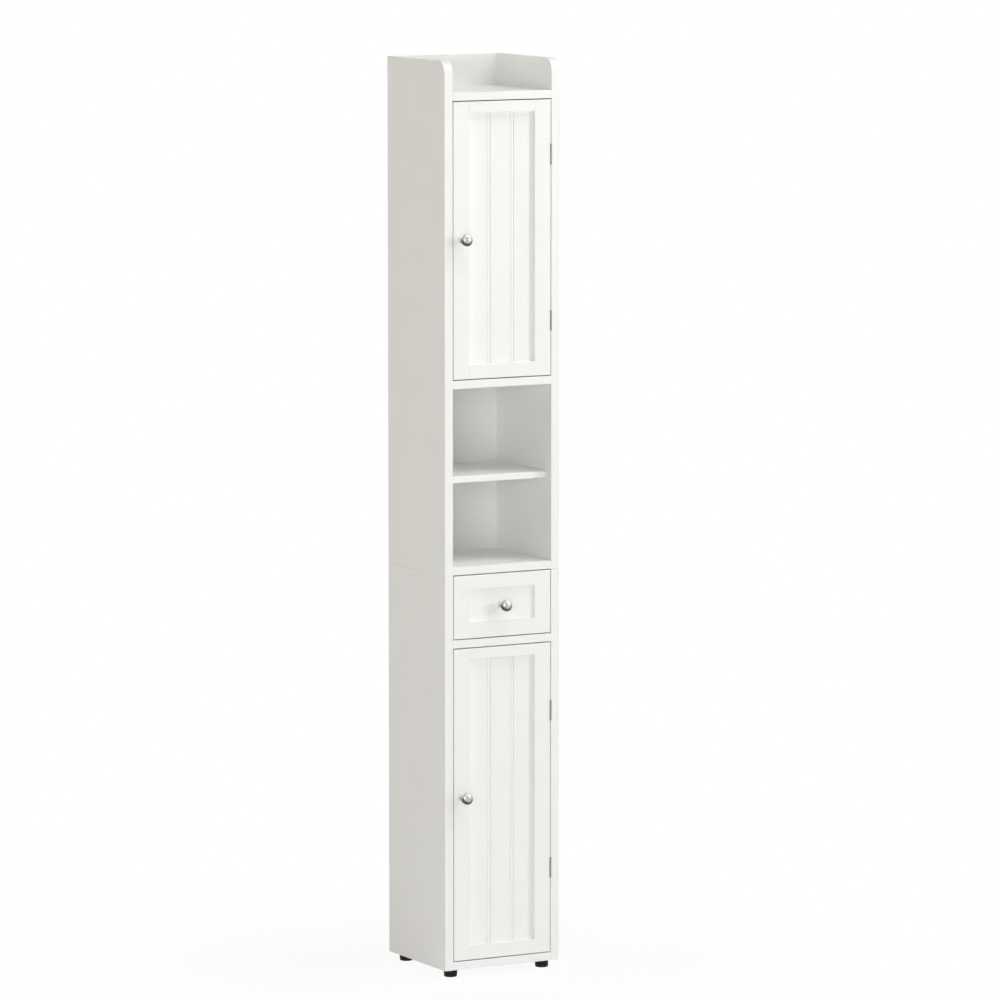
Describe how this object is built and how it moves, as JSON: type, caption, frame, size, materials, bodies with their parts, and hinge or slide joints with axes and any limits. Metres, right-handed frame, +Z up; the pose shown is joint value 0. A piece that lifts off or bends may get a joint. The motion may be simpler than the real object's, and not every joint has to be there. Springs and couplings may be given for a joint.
{
  "type": "storage cabinet",
  "caption": "Tall, narrow storage cabinet with framed, beaded doors, a drawer, an open niche with a shelf, and an open tray on top, on small round feet.",
  "frame": {"origin": "centre of the bounding box in plan, on the floor under the feet", "axes": "+Z up; -Y to the front, where the doors and the drawer are; +X to the right for someone who faces the doors"},
  "size_m": [0.255, 0.27, 1.8],
  "materials": {
    "painted_board": "satin white paint on board",
    "painted_sheet": "satin white paint on thin sheet",
    "brushed_nickel": "brushed nickel plating",
    "plated_steel": "nickel-plated steel",
    "cast_zinc": "plain die-cast zinc",
    "black_plastic": "dark, slightly glossy plastic",
    "pale_plastic": "plain moulded plastic",
    "pale_rubber": "smooth pale rubber",
    "magnet": "dark ferrite between steel plates",
    "beech": "bare beech"
  },
  "bodies": {
    "carcass": {"upper_side_left": "painted_board", "upper_side_right": "painted_board", "top_panel": "painted_board", "upper_cupboard_floor": "painted_board", "niche_floor": "painted_board", "niche_shelf": "painted_board", "upper_cupboard_shelf": "painted_board", "upper_back_panel": "painted_sheet", "wall_rail": "painted_board", "lower_side_left": "painted_board", "lower_side_right": "painted_board", "drawer_divider": "painted_board", "base_panel": "painted_board", "lower_back_panel": "painted_sheet", "lower_cupboard_shelf": "painted_board", "shelf_pins": "plated_steel", "dowels": "beech", "cam_locks": "cast_zinc", "cam_bolts": "plated_steel", "joining_plates": "plated_steel", "rear_bumpers": "pale_rubber", "feet": "black_plastic", "foot_screws": "plated_steel", "hinge_frame_leaves": "plated_steel", "hinge_pins": "plated_steel", "catch_housings": "pale_plastic", "catch_magnets": "magnet", "short_screws": "plated_steel", "drawer_runner_left": "pale_plastic", "drawer_runner_right": "pale_plastic"},
    "upper_door": {"upper_door_stile_left": "painted_board", "upper_door_stile_right": "painted_board", "upper_door_rail_top": "painted_board", "upper_door_rail_bottom": "painted_board", "upper_door_panel": "painted_board", "upper_door_knob": "brushed_nickel", "upper_door_knob_screw": "plated_steel", "upper_door_hinge_leaves": "plated_steel", "upper_door_screws": "plated_steel", "upper_door_strike": "plated_steel"},
    "lower_door": {"lower_door_stile_left": "painted_board", "lower_door_stile_right": "painted_board", "lower_door_rail_top": "painted_board", "lower_door_rail_bottom": "painted_board", "lower_door_panel": "painted_board", "lower_door_knob": "brushed_nickel", "lower_door_knob_screw": "plated_steel", "lower_door_hinge_leaves": "plated_steel", "lower_door_screws": "plated_steel", "lower_door_strike": "plated_steel"},
    "drawer": {"drawer_front": "painted_board", "drawer_side_left": "painted_board", "drawer_side_right": "painted_board", "drawer_back": "painted_board", "drawer_bottom": "painted_sheet", "drawer_knob": "brushed_nickel", "drawer_knob_screw": "plated_steel", "drawer_cams": "cast_zinc", "drawer_cam_bolts": "plated_steel", "drawer_screws": "plated_steel"}
  },
  "joints": [
    {"name": "upper_door_hinge", "type": "hinge", "parent": "carcass", "child": "upper_door", "pos_m": [0.1085, -0.105, 1.4505], "axis": [0, 0, 1], "range_deg": [0, 165]},
    {"name": "lower_door_hinge", "type": "hinge", "parent": "carcass", "child": "lower_door", "pos_m": [0.1085, -0.105, 0.36], "axis": [0, 0, 1], "range_deg": [0, 165]},
    {"name": "drawer_slide", "type": "slide", "parent": "carcass", "child": "drawer", "axis": [0, -1, 0], "range_m": [0, 0.13]}
  ]
}
